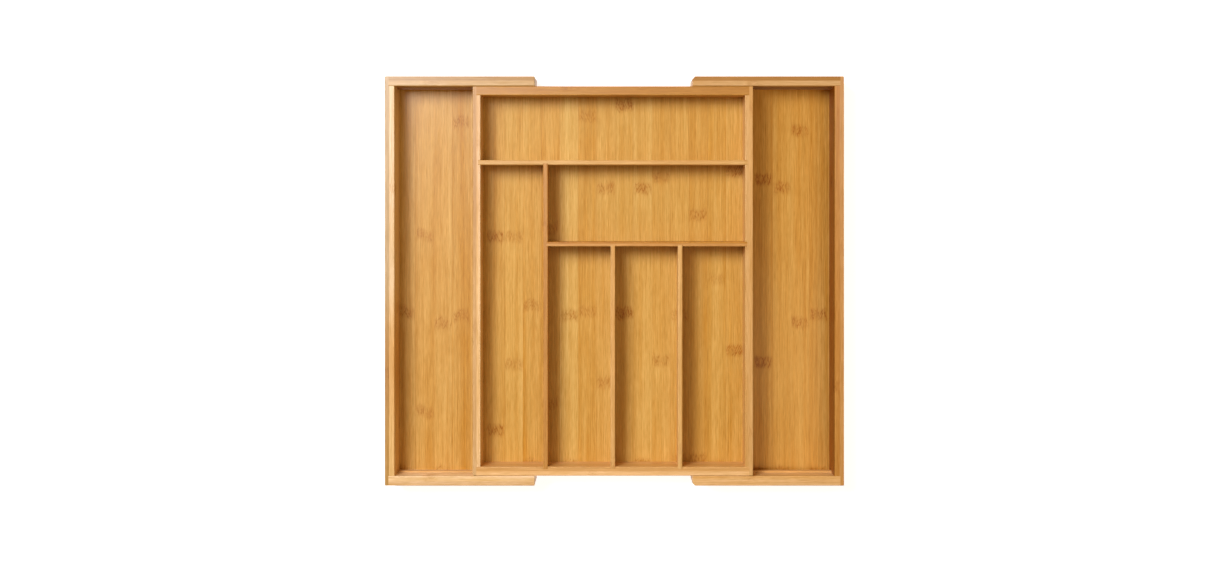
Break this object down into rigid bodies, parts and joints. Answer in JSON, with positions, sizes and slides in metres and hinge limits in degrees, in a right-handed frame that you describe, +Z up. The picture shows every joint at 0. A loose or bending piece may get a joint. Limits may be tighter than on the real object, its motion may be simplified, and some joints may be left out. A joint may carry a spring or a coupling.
{
  "type": "expandable drawer organizer",
  "caption": "Shallow bamboo drawer organizer: a divided centre tray between sliding side wings that pull out to fill a wider drawer.",
  "frame": {"origin": "on the surface the organizer stands on, under the middle of its plan with both wings pulled right out", "axes": "+X to the right, along the way the wings slide; +Y to the back, where the full-width compartment is; +Z up"},
  "size_m": [0.498, 0.444, 0.054],
  "materials": {
    "tray_wall_bamboo": "clear satin lacquer on carbonized bamboo",
    "tray_floor_bamboo": "clear satin lacquer on carbonized bamboo",
    "divider_bamboo": "clear satin lacquer on carbonized bamboo",
    "wing_wall_bamboo": "clear satin lacquer on carbonized bamboo",
    "wing_floor_bamboo": "clear satin lacquer on carbonized bamboo",
    "slide_bamboo": "sanded bamboo, thin satin lacquer"
  },
  "bodies": {
    "centre_tray": {"tray_back_wall": "tray_wall_bamboo", "tray_front_wall": "tray_wall_bamboo", "tray_left_wall": "tray_wall_bamboo", "tray_right_wall": "tray_wall_bamboo", "tray_floor": "tray_floor_bamboo", "rear_cross_divider": "divider_bamboo", "mid_cross_divider": "divider_bamboo", "long_divider": "divider_bamboo", "short_divider_left": "divider_bamboo", "short_divider_right": "divider_bamboo"},
    "left_wing": {"left_end_wall": "wing_wall_bamboo", "left_back_rail": "wing_wall_bamboo", "left_front_rail": "wing_wall_bamboo", "left_floor": "wing_floor_bamboo", "left_back_tongue": "slide_bamboo", "left_front_tongue": "slide_bamboo", "left_back_stop_peg": "slide_bamboo", "left_front_stop_peg": "slide_bamboo"},
    "right_wing": {"right_end_wall": "wing_wall_bamboo", "right_back_rail": "wing_wall_bamboo", "right_front_rail": "wing_wall_bamboo", "right_floor": "wing_floor_bamboo", "right_back_tongue": "slide_bamboo", "right_front_tongue": "slide_bamboo", "right_back_stop_peg": "slide_bamboo", "right_front_stop_peg": "slide_bamboo"}
  },
  "joints": [
    {"name": "left_wing_slide", "type": "slide", "parent": "centre_tray", "child": "left_wing", "axis": [1, 0, 0], "range_m": [0, 0.0843]},
    {"name": "right_wing_slide", "type": "slide", "parent": "centre_tray", "child": "right_wing", "axis": [-1, 0, 0], "range_m": [0, 0.0843]}
  ]
}
